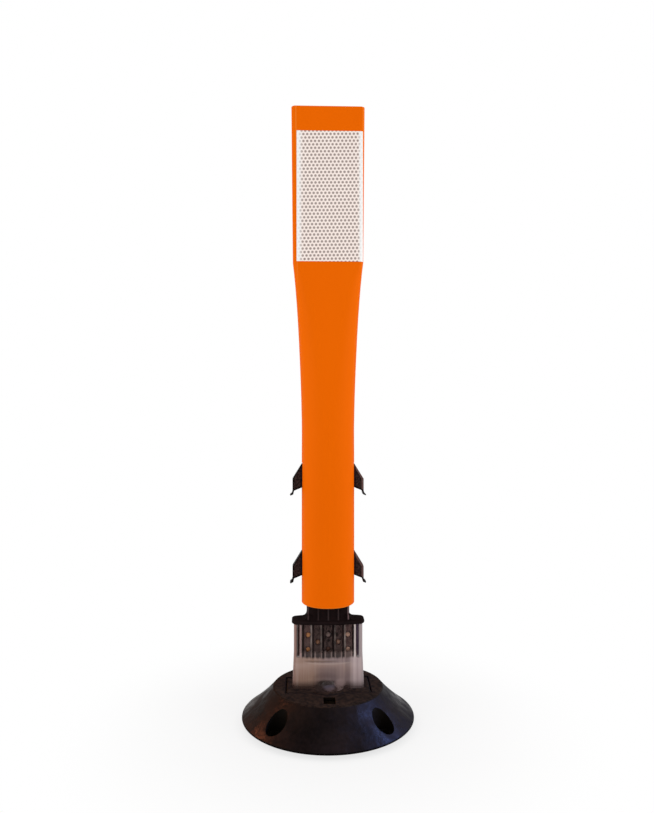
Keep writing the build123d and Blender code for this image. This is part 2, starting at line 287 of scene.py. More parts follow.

# %% [markdown]
# ## Black mouldings
#
# The base, foot plate and latch are one satin black plastic, a little brown. The crown is matt and
# dusty, and its lighter tone also stands in for the sheen that its flat top catches. Dirt and
# painted shade darken the line round the foot plate, and painted shade darkens the rim's edge and
# the bolt recesses. This could be painted on an image, but the distance from a bolt or from the
# plate's outline finds the same places with no file, and it stays sharp from near by.

# %% Base: places
base_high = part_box("base")[1]
BOLT_PLACE, RECESS_RADIUS = 57.0 * MM, 11.8 * MM
PLATE_SIDE, PLATE_FRONT = 47.8 * MM, 23.0 * MM
LOBE_RADIUS, LOBE_OFFSET = 26.0 * MM, 3.5 * MM
moulding = new_finish("black_moulding")
x, y, z = moulding.xyz()
# painted shade along the rim's upright edge, which gets less light from above
rim = span(x, y).rise(base_high.x - 0.7 * MM, base_high.x - 0.3 * MM)
crown = z.rise(base_high.z - 1.0 * MM, base_high.z - 0.3 * MM)
from_bolt = span(abs(x) - BOLT_PLACE, abs(y) - BOLT_PLACE)
# painted shade inside the bolt recesses
recess_shade = from_bolt.rise(RECESS_RADIUS + 0.5 * MM, RECESS_RADIUS - 0.1 * MM)
past_side = (abs(x) - PLATE_SIDE).larger(abs(y) - PLATE_FRONT)
past_lobe = span(x, abs(y) - LOBE_OFFSET) - LOBE_RADIUS
# dirt and painted shade along the groove round the foot plate
groove_dirt_and_shade = past_side.smaller(past_lobe).stripe(0.3 * MM, 2.0 * MM, 0.8 * MM)
groove_dirt_and_shade = groove_dirt_and_shade * z.rise(base_high.z - 2.6 * MM, base_high.z - 2.2 * MM)
print("base: rim radius", in_mm(base_high.x), "mm and crown at", in_mm(base_high.z), "mm")

# %% [markdown]
# A moulding that has stood by the road is mottled, so a slow and a fine noise move its tone between
# two near blacks. The bump holds the mould's fine grain, and slow waves in the skirt that break up
# its sheen. The crown gets no waves and a high roughness, because it doesn't shine on the real base.

# %% Base: tone and surface
grain = moulding.noise(2600.0, 1.0)
cloud = moulding.noise(22.0, 3.0)
scuff = moulding.noise(240.0, 3.0)
patch = moulding.noise(70.0, 3.0).rise(0.35, 0.65)
wave = moulding.noise(60.0, 2.0)
mottle = cloud.rise(0.3, 0.7) * 0.75 + scuff.rise(0.35, 0.65) * 0.25
# the crown's dusty tone, lighter than the skirt, is also painted sheen
dust_and_sheen = moulding.mix(scuff.rise(0.25, 0.75), shade(13, 10, 5), shade(34, 25, 13))
tone = moulding.paint(
    moulding.mix(mottle, shade(10, 7, 5), shade(25, 18, 13)),
    # dusty crown with painted sheen
    (crown, dust_and_sheen),
    # dirt and painted shade in the groove round the foot plate
    (groove_dirt_and_shade * 0.65, shade(11, 7, 6)),
    # painted shade on the rim's edge
    (rim * 0.8, shade(6, 4, 4)),
    # painted shade in the bolt recesses
    (recess_shade * 0.9, shade(15, 12, 9)),
)
black_moulding = moulding.surface(
    Base_Color=tone,
    Roughness=0.24 + patch * 0.24 + crown * 0.6,
    Specular_IOR_Level=0.015,
    Normal=moulding.bump(grain * 0.02 + wave * (1 - crown), 0.0024, 0.5),
)
for name in ("base", "foot_plate", "release_latch"):
    coat_node(name, black_moulding)

# %% [markdown]
# ## Connector and barbs
#
# The connector is the same kind of plastic. Its plate lies inside the urethane, and the smoky block
# hazes it: the web between the fins, which lies deepest, looks grey and blotchy, and paler at the
# left, at the ends and low down. Light gathers beside each fin, and a dark rim stands round each
# bond hole. A real volume would give such a haze, but it renders slowly and is lost in an export. So
# the haze is a colour by place on the embedded faces, and it stays when the post bends.

# %% Connector: places
FIN_PITCH, WEB_FACE, STEM_FACE = 11.4 * MM, 2.5 * MM, 10.7 * MM
FLANGE_LOW, STEM_LOW, RIB_TOP = 111.4 * MM, 115.9 * MM, 155.9 * MM
HOLE_MIDDLE_Z, HOLE_RISE = 88.7 * MM, 8.35 * MM
connector = new_finish("black_connector")
x, y, z = connector.xyz()
sunk = z.rise(FLANGE_LOW + 0.1 * MM, FLANGE_LOW - 0.1 * MM)
web = abs(y).rise(WEB_FACE + 0.9 * MM, WEB_FACE + 0.2 * MM)
outer = abs(x).rise(6 * MM, 24 * MM)
left = x.rise(8 * MM, -12 * MM)
right = x.rise(-10 * MM, 30 * MM)
end_fin = abs(x).rise(31.5 * MM, 33 * MM)
lower = z.rise(90 * MM, 80 * MM)
column = floor(x / FIN_PITCH + 0.5)
from_hole_z = abs(z - HOLE_MIDDLE_Z) - (1 - column % 2.0) * HOLE_RISE
from_hole = span(x - column * FIN_PITCH, from_hole_z)
hole_rim = from_hole.rise(4.6 * MM, 3.0 * MM) * abs(x).rise(28 * MM, 27 * MM)
hole_rim = sunk * web * hole_rim * z.rise(78 * MM, 81 * MM)
print("fins every", in_mm(FIN_PITCH), "mm, in urethane below", in_mm(FLANGE_LOW), "mm")

# %% Connector: haze over the plate
blotch = connector.noise(330.0, 2.0, (1.0, 1.0, 0.6))
broken = connector.noise(260.0, 2.0, (1.0, 1.0, 0.4)).rise(0.35, 0.65)
haze = sunk * (outer * 0.10 + end_fin * (0.36 + right * 0.38) + web * 0.9)
beside_fin = (abs(x) - FIN_PITCH / 2) % FIN_PITCH
glint = beside_fin.band(1.6 * MM, 2.7 * MM, 0.5 * MM) * abs(x).rise(4 * MM, 6 * MM)
glint = sunk * web * glint * (0.34 + outer * 0.30) * (0.5 + broken * 0.8)
smoky = connector.paint(
    connector.mix(blotch.rise(0.40, 0.62), shade(30, 24, 24), shade(112, 92, 89)),
    (left * 0.34, shade(120, 100, 94)),
    (outer * 0.5, shade(132, 102, 98)),
    (lower * 0.75, shade(138, 116, 112)),
    (end_fin * right, shade(110, 92, 116)),
)
print("haze written, with a tree of", len(connector.tree.nodes), "nodes so far")

# %% [markdown]
# Above the flange the ribs of the stem catch a painted highlight along their crests, least at the
# left, and the outermost one at the right is the palest. Lamps could pick out such thin edges, but
# they would change the rest of the post as well, so each crest has a painted highlight of its own.

# %% Connector: ribs of the stem
STEM_CORNER, CORNER_OUTER, CORNER_INNER = 22.8 * MM, 1.1 * MM, 0.4 * MM
from_rib = abs((x + FIN_PITCH / 2) % FIN_PITCH - FIN_PITCH / 2)
standing_out = abs(y).rise(STEM_FACE + 0.6 * MM, STEM_FACE + 1.2 * MM)
on_rib = from_rib.rise(1.1 * MM, 0.6 * MM) * standing_out
on_stem = z.band(STEM_LOW + 1 * MM, RIB_TOP, 1 * MM)
# painted highlight along the rib crests, weakest at the left
crest_highlight = on_rib * on_stem * x.rise(-22 * MM, -4 * MM)
# painted highlight down the stem's corners, strongest at the right
right_corner = x.stripe(STEM_CORNER, CORNER_OUTER, CORNER_INNER)
left_corner = x.stripe(-STEM_CORNER, CORNER_OUTER, CORNER_INNER)
corner_highlight = (right_corner + left_corner * 0.3) * on_stem
flat_top = z.band(STEM_LOW - 0.2 * MM, STEM_LOW + 5.6 * MM, 0.2 * MM)
print("ribs from", in_mm(STEM_LOW), "to", in_mm(RIB_TOP), "mm")

# %% [markdown]
# The barbs are rubbed grey by the tube's slots, and the grey also stands in for their sheen. Painted
# shade darkens their lower edges and lips, and the outer edges at the left, while the barbs at the
# right get a painted highlight at their corners. Next to the tube lies a dark strip of painted
# contact shadow. The four barbs have one outline, so the distance from it is worked out once: the
# sign of x is dropped for left and right, and the height repeats every 100 mm.

# %% Barbs: wear, painted highlights and painted shade
BARB_TOP, BARB_PITCH = 293.1 * MM, 100 * MM
BARB_RAMP, BARB_HEIGHT = 17 * MM, 30.5 * MM
TUBE_SIDE, BARB_REACH = 30.15 * MM, 10.5 * MM
LIP, HOOK_SLOPE = 1.8 * MM, 0.414
BARB_TIP = TUBE_SIDE + BARB_REACH
on_barb = z.rise(STEM_LOW + 3 * MM, STEM_LOW + 5 * MM) * abs(x).rise(27 * MM, 29 * MM)
on_right = x.rise(-1 * MM, 1 * MM)
below_top = (BARB_TOP - z) % BARB_PITCH
side_x = BARB_TIP - (BARB_RAMP - below_top).larger(0.0) * (BARB_REACH / BARB_RAMP)
from_side = side_x - abs(x)
from_hook = BARB_HEIGHT - (BARB_TIP - LIP - abs(x)) * HOOK_SLOPE - below_top
# painted shade on the outer edges at the left, on the lower edges and on the lips
outer_edge_shade = from_side.rise(1.7 * MM, 0.9 * MM) * (1 - on_right)
barb_edge_shade = outer_edge_shade.larger(from_hook.rise(2.2 * MM, 1.1 * MM))
# painted highlight at the barbs' corners, used at the right
barb_corner_highlight = from_side.band(0.3 * MM, 1.9 * MM, 0.8 * MM) * abs(y).rise(4.0 * MM, 5.6 * MM)
# painted contact shadow on the barbs next to the tube
tube_contact_shadow = (abs(x) - TUBE_SIDE).rise(2.0 * MM, 0.8 * MM)
speckle = connector.noise(500.0, 2.0).rise(0.35, 0.65)
# rubbed grey that also stands in for the barbs' sheen, with painted light and shade over it
barb_wear_and_light = connector.paint(
    connector.mix(speckle, shade(27, 19, 17), shade(60, 46, 44)),
    # painted highlight at the corners of the right barbs
    (barb_corner_highlight * on_right * 0.6, shade(124, 98, 96)),
    # painted contact shadow next to the tube
    (tube_contact_shadow * 0.7, shade(6, 12, 26)),
    # painted shade on the barbs' dark edges
    (barb_edge_shade * 0.85, shade(4, 1, 1)),
)
print("barbs reach out to", in_mm(BARB_TIP), "mm")

# %% Connector: surface
grain = connector.noise(2600.0, 1.0)
cloud = connector.noise(30.0, 3.0)
tone = connector.paint(
    connector.mix(cloud.rise(0.3, 0.7), shade(20, 13, 13), shade(31, 22, 22)),
    # the barbs' wear with their painted light and shade
    (on_barb, barb_wear_and_light),
    (haze, smoky),
    # painted highlight on the rib crests
    (crest_highlight * 0.6, shade(70, 58, 58)),
    # painted highlight on the stem's corners
    (corner_highlight * 0.75, shade(124, 100, 102)),
    (hole_rim * 0.5, shade(22, 15, 14)),
    (glint, shade(224, 208, 200)),
)
black_connector = connector.surface(
    Base_Color=tone,
    Roughness=0.38 + cloud * 0.14 + flat_top * 0.45,
    Specular_IOR_Level=0.01,
    Normal=connector.bump(grain, 0.00006, 0.5),
)
barb_names = [name for name in nodes if name.startswith("barb_")]
for name in ["upper_connector", *barb_names]:
    coat_node(name, black_connector)

# %% [markdown]
# ## Orange tube
#
# The tube is extruded plastic in safety orange, round below and pressed flat above. Extrusion leaves
# very faint lines along it, and the cut edge at its foot is a little lighter. A painted highlight
# runs up each of the paddle's folds: 5 mm in from the side at the left, and close to the edge at the
# right. The paddle widens a little towards its top, so the lines are measured from sides that lean
# as much. They are a colour by place, because modelled creases this fine need a heavy mesh.

# %% Tube finish
tube_low, tube_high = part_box("post_tube")
PADDLE_LOW, PADDLE_TOP_WIDTH, PADDLE_LOW_WIDTH = 523.1 * MM, 84.0 * MM, 80.6 * MM
LEFT_FOLD, RIGHT_FOLD = 5.0 * MM, 1.6 * MM
orange = new_finish("safety_orange")
x, _, z = orange.xyz()
drawn = orange.noise(420.0, 2.0, (1.0, 1.0, 0.02))
cloud = orange.noise(14.0, 2.0, (1.0, 1.0, 0.4))
foot_edge = z.rise(tube_low.z + 1.3 * MM, tube_low.z + 0.7 * MM)
side_lean = (PADDLE_TOP_WIDTH - PADDLE_LOW_WIDTH) / 2 / (tube_high.z - PADDLE_LOW)
side_x = tube_high.x - (tube_high.z - z) * side_lean
fold_inset = LEFT_FOLD + x.rise(-1 * MM, 1 * MM) * (RIGHT_FOLD - LEFT_FOLD)
# painted highlight up the paddle's folds
fold_highlight = abs(abs(x) - side_x + fold_inset).rise(1.0 * MM, 0.3 * MM)
fold_highlight = fold_highlight * z.rise(PADDLE_LOW - 40 * MM, PADDLE_LOW + 20 * MM)
tone = orange.paint(
    orange.mix(cloud, shade(236, 101, 0), shade(242, 106, 1)),
    # painted highlight along the folds
    (fold_highlight * 0.5, shade(246, 138, 48)),
    (foot_edge * 0.8, shade(250, 136, 40)),
)
safety_orange = orange.surface(
    Base_Color=tone,
    Roughness=0.44 + drawn * 0.1,
    Specular_IOR_Level=0.015,
    Normal=orange.bump(drawn, 0.00005, 0.4),
)
coat_node("post_tube", safety_orange)

# %% [markdown]
# ## Reflective sheet
#
# The sheet is white film over rows of small lens cells. From a distance the cells read as grey dots
# in a hexagonal pattern. The film was cut slightly askew, so the rows climb about a degree to the
# right and the columns lean with them. A white margin runs up the left side, and a narrower one up
# the right. The dots could be modelled, but hundreds of them would be heavy. Instead each point of
# the sheet works out which row it is in and how far it is from the nearest cell.

# %% Sheet: cells
sheet_low, sheet_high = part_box("reflective_sheet")
CELL_PITCH, ROW_PITCH, CELL_RADIUS = 4.422 * MM, 3.953 * MM, 1.40 * MM
CELL_SHIFT, ROW_SHIFT = 0.65 * MM, 0.29 * MM
COLUMN_LEAN, ROW_TILT = 0.0104, 0.0205
sheet_middle = (sheet_low + sheet_high) / 2
sheet = new_finish("prismatic_sheet")
x, _, z = sheet.xyz()
aside = x - sheet_middle.x
above = z - sheet_middle.z
up = above - aside * ROW_TILT + ROW_SHIFT
row = floor(up / ROW_PITCH + 0.5)
across = (aside + above * COLUMN_LEAN + CELL_SHIFT) / CELL_PITCH + (row % 2.0) * 0.5
from_cell = span((across % 1.0 - 0.5) * CELL_PITCH, up - row * ROW_PITCH)
cell = from_cell.rise(CELL_RADIUS + 0.5 * MM, CELL_RADIUS - 0.5 * MM)
sheet_size = sheet_high - sheet_low
print("about", round(sheet_size.x / CELL_PITCH), "cells by", round(sheet_size.z / ROW_PITCH))

# %% Sheet: margins and surface
left_fade = x.rise(sheet_low.x + 1 * MM, sheet_low.x + 8 * MM)
right_fade = x.rise(sheet_high.x - 2.4 * MM, sheet_high.x - 6.0 * MM)
within = left_fade * right_fade
dots = cell * (0.12 + within * 0.88)
cloud = sheet.noise(40.0, 2.0)
film = sheet.mix(cloud, shade(251, 236, 228), shade(255, 242, 235))
film = sheet.mix(within, shade(250, 250, 249), film)
white_sheet = sheet.surface(
    Base_Color=sheet.mix(dots * 0.92, film, shade(146, 129, 123)),
    Roughness=0.36 + dots * 0.12,
    Specular_IOR_Level=0.2,
    Normal=sheet.bump(1 - dots, 0.00008, 0.5),
)
coat_node("reflective_sheet", white_sheet)

# %% [markdown]
# ## Urethane hinge
#
# The hinge is a cast block that flares a little towards its foot, with a swept toe front and back.
# The CAD solid has its outline, but it also has the hollow that the plate fills, and faces too long
# to bend. So a new skin is made: a box, bevelled at its uprights and widened at its foot, a toe on
# each side, and cuts across it all. It has no hollow, because the real block is bonded to what it
# holds and shows no surface there. The helpers below work in edit mode, as by hand.


# %% Edit-mode helpers
SAME_LEVEL = 0.05 * MM


def edit(obj):
    """Opens one object in edit mode with nothing selected."""
    bpy.ops.object.select_all(action="DESELECT")
    bpy.context.view_layer.objects.active = obj
    obj.select_set(True)
    bpy.ops.object.mode_set(mode="EDIT")
    bpy.ops.mesh.select_mode(type="VERT")
    bpy.ops.mesh.select_all(action="DESELECT")


def select_edges(obj, wanted):
    """Selects the edges whose two ends satisfy a test, and nothing else."""
    bpy.ops.mesh.select_mode(type="EDGE")
    bpy.ops.mesh.select_all(action="DESELECT")
    bpy.ops.object.mode_set(mode="OBJECT")
    mesh = obj.data
    for edge in mesh.edges:
        ends = [mesh.vertices[i].co for i in edge.vertices]
        edge.select = wanted(*ends)
    bpy.ops.object.mode_set(mode="EDIT")


def slice_at(level):
    """Cuts the open mesh across at one height."""
    bpy.ops.mesh.select_all(action="SELECT")
    bpy.ops.mesh.bisect(plane_co=(0, 0, level), plane_no=(0, 0, 1))


def settle(obj):
    """Leaves edit mode and puts the object's place into its mesh."""
    bpy.ops.object.mode_set(mode="OBJECT")
    bpy.ops.object.select_all(action="DESELECT")
    bpy.context.view_layer.objects.active = obj
    obj.select_set(True)
    bpy.ops.object.transform_apply(location=True, rotation=True, scale=True)


def draw_in_rings(obj, low, rise, rings, scale_at, axis_y=0.0):
    """Cuts a piece across into rings, and scales each ring by its height above low."""
    edit(obj)
    for ring in range(1, rings):
        slice_at(low + rise * ring / rings)
    for ring in range(1, rings + 1):
        height = rise * ring / rings
        level = low + height
        select_edges(obj, lambda a, b: max(abs(a.z - level), abs(b.z - level)) < SAME_LEVEL)
        bpy.ops.transform.resize(value=scale_at(height), center_override=(0, axis_y, level))
    settle(obj)


def tell_size(title, obj):
    """Prints how many faces a piece has, and how large it is."""
    print(title + ":", len(obj.data.polygons), "faces,", list(map(in_mm, obj.dimensions)), "mm")


print("helpers ready in", bpy.context.mode, "mode")

# %% Urethane slab
FOOT_Z, TOP_Z, FLARE_Z = 39.05 * MM, 111.35 * MM, 80.0 * MM
BLOCK_WIDTH, BLOCK_FOOT_WIDTH = 78.2 * MM, 81.8 * MM
BLOCK_DEPTH, BLOCK_CORNER = 24.0 * MM, 5.0 * MM
block_height = TOP_Z - FOOT_Z
bpy.ops.object.select_all(action="DESELECT")
bpy.ops.mesh.primitive_cube_add(
    size=1.0,
    location=(0, 0, FOOT_Z + block_height / 2),
    scale=(BLOCK_WIDTH, BLOCK_DEPTH, block_height),
)
block = bpy.context.object
block.name = "urethane_block"
settle(block)
edit(block)
select_edges(block, lambda a, b: abs(a.z - b.z) > 1 * MM)
bpy.ops.mesh.bevel(offset=BLOCK_CORNER, segments=6, affect="EDGES")
slice_at(FLARE_Z)
select_edges(block, lambda a, b: max(a.z, b.z) < FOOT_Z + 1 * MM)
foot_spread = (BLOCK_FOOT_WIDTH / BLOCK_WIDTH, 1, 1)
bpy.ops.transform.resize(value=foot_spread, center_override=(0, 0, FOOT_Z))
settle(block)
tell_size("urethane slab", block)

# %% [markdown]
# A toe's side is an arc that leaves the block almost upright and sweeps out towards the foot. It
# could be spun from a profile, but that leaves a seam to close. Cuts across a cylinder give closed
# rings at once. Each ring is scaled about the toe's own axis to the arc's radius at its height, and
# a union then joins each toe to the block.

# %% Toes
TOE_RADIUS, TOE_HEIGHT, TOE_OFFSET, TOE_RINGS = 19.1 * MM, 13.0 * MM, 3.4 * MM, 8
SWEEP_RADIUS, SWEEP_OUT, SWEEP_UP = 15.10 * MM, 23.63 * MM, 14.40 * MM


def toe_scale(height):
    """How far a ring of the toe is drawn in at a height above its foot."""
    radius = SWEEP_OUT - (SWEEP_RADIUS ** 2 - (SWEEP_UP - height) ** 2) ** 0.5
    return (radius / TOE_RADIUS, radius / TOE_RADIUS, 1)


for side in (-1, 1):
    toe_y = side * TOE_OFFSET
    bpy.ops.object.select_all(action="DESELECT")
    bpy.ops.mesh.primitive_cylinder_add(
        vertices=64,
        radius=TOE_RADIUS,
        depth=TOE_HEIGHT,
        location=(0, toe_y, FOOT_Z + TOE_HEIGHT / 2),
    )
    toe = bpy.context.object
    settle(toe)
    draw_in_rings(toe, FOOT_Z, TOE_HEIGHT, TOE_RINGS, toe_scale, toe_y)
    joiner = block.modifiers.new("toe", "BOOLEAN")
    joiner.operation = "UNION"
    joiner.object = toe
    bpy.context.view_layer.objects.active = block
    bpy.ops.object.modifier_apply(modifier=joiner.name)
    bpy.data.objects.remove(toe)
tell_size("urethane block with toes", block)

# %% [markdown]
# The block bends between its foot and the plate's lower edge. A subdivision would give it points to
# bend with, but it would round the block's edges too. Level cuts keep the outline and put a ring of
# points every 1.65 mm, just where the bend needs them.

# %% Cuts for bending
BEND_START, BEND_END, BEND_STEP = 40.5 * MM, 73.5 * MM, 1.65 * MM
CLOSE_POINTS = 0.03 * MM
edit(block)
level = BEND_START
while level < BEND_END + BEND_STEP:
    slice_at(level)
    level += BEND_STEP
bpy.ops.mesh.select_all(action="SELECT")
bpy.ops.mesh.remove_doubles(threshold=CLOSE_POINTS)
bpy.ops.mesh.dissolve_degenerate(threshold=CLOSE_POINTS)
settle(block)
bpy.ops.object.shade_smooth_by_angle(angle=radians(35))
tell_size("urethane block cut for bending", block)

# %% [markdown]
# Object coordinates move with the points when the block bends, and its milky foot would spread over
# the bend. So each point's place at rest is kept as an attribute, and the finish reads that.

# %% Places at rest
REST_PLACE = "rest_place"
rest_places = block.data.attributes.new(REST_PLACE, "FLOAT_VECTOR", "POINT")
for point, kept in zip(block.data.vertices, rest_places.data):
    kept.vector = point.co
print("places at rest kept for", len(rest_places.data), "points")

# %% [markdown]
# The urethane is smoky and pinkish. It is clearest in front of the plate and milky below it, where
# light scatters in the full thickness. Real refraction would cost many rays and is lost in an
# export, so the transparency is written as alpha by height and by distance from the ends. The milky
# part ends in a ragged brim that bows up towards the ends, with a dark seam just under it.

# %% Urethane: the milky part
BRIM_Z, BRIM_BOW = 70.9 * MM, 1.2 * MM
# height and bow of the painted highlight line under the brim
HIGHLIGHT_LINE_Z, HIGHLIGHT_LINE_BOW = 66.8 * MM, 3.0 * MM
PLATE_HALF, RAGGED_BY = 33 * MM, 3.5 * MM
urethane = new_finish("clear_urethane", REST_PLACE)
x, _, z = urethane.xyz()
flow = urethane.noise(130.0, 2.0, (1.0, 1.0, 0.2))
streak = urethane.noise(330.0, 2.0, (1.0, 1.0, 0.06))
ragged = (streak - 0.5) * RAGGED_BY
bow = (x / PLATE_HALF) ** 2.0
above_brim = z - (BRIM_Z + bow * BRIM_BOW)
milky = (above_brim - ragged).rise(4.2 * MM, 0.7 * MM)
seam = (above_brim - ragged * 0.3).stripe(-1.3 * MM, 1.9 * MM, 0.2 * MM)
seam = seam * x.stripe(-8 * MM, 24 * MM, 10 * MM)
# where the painted highlight line under the brim lies, bowing up towards the ends
above_line = z - (HIGHLIGHT_LINE_Z + bow * HIGHLIGHT_LINE_BOW)
highlight_line = abs(above_line).rise(1.2 * MM, 0.3 * MM) * abs(x).rise(30 * MM, 20 * MM)
print("milky up to", in_mm(BRIM_Z), "mm at the middle and", in_mm(BRIM_Z + BRIM_BOW), "at the ends")

# %% [markdown]
# Inside the milky part, light runs down in streaks. It is warmer at the left, darker at the middle
# and palest at the right, where a few upright strips stand before the rounded end. Modelled
# inclusions would need real refraction to look like this, so these are coats as well.

# %% Urethane: strips in the milky part
left = x.rise(4 * MM, -20 * MM)
right = x.rise(20 * MM, 33 * MM)
bright = z.rise(50 * MM, 66 * MM) * z.rise(70 * MM, 66.5 * MM)
middle = x.stripe(-1 * MM, 18 * MM, 7 * MM) * z.rise(68 * MM, 60 * MM)
right_shadow = x.band(20 * MM, 24 * MM, 2 * MM)
right_strip = x.stripe(29.5 * MM, 1.8 * MM, 0.6 * MM)
right_line = x.stripe(33 * MM, 1.4 * MM, 0.4 * MM)
left_strip = x.stripe(-35.5 * MM, 1.8 * MM, 0.5 * MM)
far_end = abs(x).rise(36.5 * MM, 38.5 * MM)
pale_end = urethane.mix(right, shade(142, 109, 100), shade(160, 146, 147))
body = urethane.paint(
    urethane.mix(left, shade(142, 120, 119), shade(156, 124, 108)),
    (bright * 0.5, shade(182, 152, 140)),
    (streak.rise(0.35, 0.7) * 0.22, shade(190, 168, 160)),
    (right * 0.75, shade(200, 180, 181)),
    (right_shadow * 0.35, shade(104, 86, 86)),
    (right_strip * 0.4, shade(214, 194, 192)),
    (right_line * 0.3, shade(146, 124, 126)),
    (left_strip * 0.35, shade(186, 156, 148)),
    (far_end * 0.8, pale_end),
    (middle * 0.45, shade(108, 90, 90)),
)
print("strips written, with a tree of", len(urethane.tree.nodes), "nodes so far")

# %% [markdown]
# The block darkens towards its foot, and the toe shows the anchor stud of the foot plate as a dark
# arch with a bluish gleam under it and a soft painted shadow over it. The stud is there in CAD, but
# light can't be traced to it through a painted skin. So the arch is made of soft ellipses on the
# block's front and back, and the seam and a painted highlight line under the brim are laid over it
# last.


# %% Urethane: the stud in the toe
def blot(centre_x, centre_z, half_width, half_height, heart=0.0):
    """1 inside a soft ellipse, given in mm; a larger heart makes its edge harder."""
    across = (x - centre_x * MM) / (half_width * MM)
    up = (z - centre_z * MM) / (half_height * MM)
    return (across ** 2.0 + up ** 2.0).rise(1.25, heart)


foot_dark = z.rise(50 * MM, 40.2 * MM) * (1 - right * 0.3)
toe_edge = x.band(12 * MM, 15 * MM, 4 * MM) * z.rise(72 * MM, 60 * MM)
right_foot = z.rise(42.6 * MM, 40.6 * MM) * right
body = urethane.paint(
    body,
    # a soft painted shadow over the stud's arch
    (blot(-4, 47, 16, 11, 0.45) * 0.2, shade(66, 50, 50)),
    (foot_dark * 0.92, shade(44, 28, 25)),
    (toe_edge * 0.34, shade(150, 128, 126)),
    (blot(-4, 41.5, 13, 6.5, 0.1) * 0.5, shade(40, 33, 34)),
    (blot(-2.5, 46, 12.5, 3.4) * 0.75, shade(34, 29, 28)),
    (blot(13.5, 45.5, 7, 5) * 0.75, shade(160, 136, 134)),
    (blot(1, 42.2, 7.5, 2.6) * 0.5, shade(98, 90, 106)),
    (blot(2, 40.8, 6.5, 1.8) * 0.3, shade(116, 96, 94)),
    # painted highlight line under the brim
    (highlight_line * 0.2, shade(206, 190, 182)),
    (seam * 0.55, shade(92, 70, 62)),
    (right_foot * 0.5, shade(44, 28, 25)),
)
print("stud written, with a tree of", len(urethane.tree.nodes), "nodes so far")

# %% [markdown]
# Above the milky part three things show on the skin. The rounded ends look opaque, a bright streak
# of painted reflection stands inside each end, and the plate's lower edge, which the urethane bends
# into view, is a dark band with a ragged top, the fins' tips across it and painted highlights beside
# them. The left end's strips lie a little further out than the right end's.

# %% Urethane: skin over the plate
END_LOW, END_HIGH = 34.7 * MM, 35.6 * MM
from_fin = abs(abs(x) % FIN_PITCH - FIN_PITCH / 2)
end_x = abs(x) - 0.9 * MM + x.rise(-20 * MM, 20 * MM) * (1.4 * MM)
ends = abs(x).larger(end_x).rise(END_LOW, END_HIGH)
end_tone = urethane.mix(end_x.rise(END_LOW, END_HIGH), shade(72, 56, 55), pale_end)
# painted reflection: a bright streak inside each end
gleam = end_x.band(29.8 * MM, 31.4 * MM, 0.6 * MM) * (0.75 + right * 0.25)
gleam_tone = urethane.mix(right, shade(172, 142, 138), shade(214, 202, 198))
right_web = x.rise(14 * MM, 20 * MM)
brink_z = z - right_web * (0.5 * MM) - ragged * 0.6
brink = brink_z.rise(82.9 * MM, 78.9 * MM) * abs(x).rise(33.5 * MM, 31.5 * MM)
skin = urethane.paint(
    urethane.mix(streak.rise(0.3, 0.7), shade(40, 31, 30), shade(70, 57, 55)),
    (z.rise(75 * MM, 79 * MM) * 0.12, shade(112, 88, 82)),
    (right_web * 0.45, shade(112, 92, 88)),
    # painted highlights beside the fins' tips
    (from_fin.band(1.6 * MM, 2.6 * MM, 0.5 * MM) * 0.3, shade(176, 152, 146)),
    (from_fin.rise(1.5 * MM, 0.9 * MM) * 0.9, shade(38, 29, 28)),
    # painted reflection streak inside each end
    (gleam, gleam_tone),
    (ends, end_tone),
)
veil = (brink * 0.9).larger(ends * 0.88).larger(gleam * 0.8)
print("skin written, with a tree of", len(urethane.tree.nodes), "nodes so far")

# %% Urethane: surface
clear_urethane = urethane.surface(
    Base_Color=urethane.mix(milky, skin, body),
    Roughness=0.18 + flow * 0.12,
    Specular_IOR_Level=0.12,
    Alpha=0.04 + milky * 0.82 + (1 - milky) * veil,
    Normal=urethane.bump(flow, 0.0003, 0.3),
)
block.data.materials.append(clear_urethane)
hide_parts("flex_hinge")
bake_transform(block)
print(block.name, "bends from", in_mm(BEND_START), "to", in_mm(BEND_END), "mm")

# %% [markdown]
# ## Bond plugs
#
# The plate has eight holes that the urethane is cast through, so that the two can never part. Each
# plug is a short rod with domed ends, seen through the block as an amber bead. A sphere would look
# alike from the front, but it would leave the hole open round it. So one plug is shaped from a
# cylinder by rounding its ends, and the others are copies of it.

# %% Bond plugs
PLUG_RADIUS, PLUG_LENGTH, PLUG_DOME = 2.7 * MM, 6.4 * MM, 1.7 * MM
bpy.ops.object.select_all(action="DESELECT")
bpy.ops.mesh.primitive_cylinder_add(
    vertices=24, radius=PLUG_RADIUS, depth=PLUG_LENGTH, rotation=(radians(90), 0, 0)
)
plug = bpy.context.object
settle(plug)
edit(plug)
select_edges(plug, lambda a, b: abs(a.y - b.y) < 0.1 * MM)
bpy.ops.mesh.bevel(offset=PLUG_DOME, segments=4, affect="EDGES")
settle(plug)
bpy.ops.object.shade_smooth_by_angle(angle=radians(40))
tell_size("one bond plug", plug)

# %% Copies in the eight holes
holes = [(column, 0) for column in (-1, 1)]
holes += [(column, turn) for column in (-2, 0, 2) for turn in (-1, 1)]
copies = []
for column, turn in holes:
    twin = plug.copy()
    twin.data = plug.data.copy()
    twin.location = (column * FIN_PITCH, 0, HOLE_MIDDLE_Z + turn * HOLE_RISE)
    bpy.context.scene.collection.objects.link(twin)
    copies.append(twin)
bpy.data.objects.remove(plug)
bpy.ops.object.select_all(action="DESELECT")
for twin in copies:
    twin.select_set(True)
bpy.context.view_layer.objects.active = copies[0]
bpy.ops.object.transform_apply(location=True, rotation=True, scale=True)
bpy.ops.object.join()
plugs = bpy.context.object
plugs.name = "bond_plugs"
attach(plugs, "post")
tell_size("bond plugs", plugs)

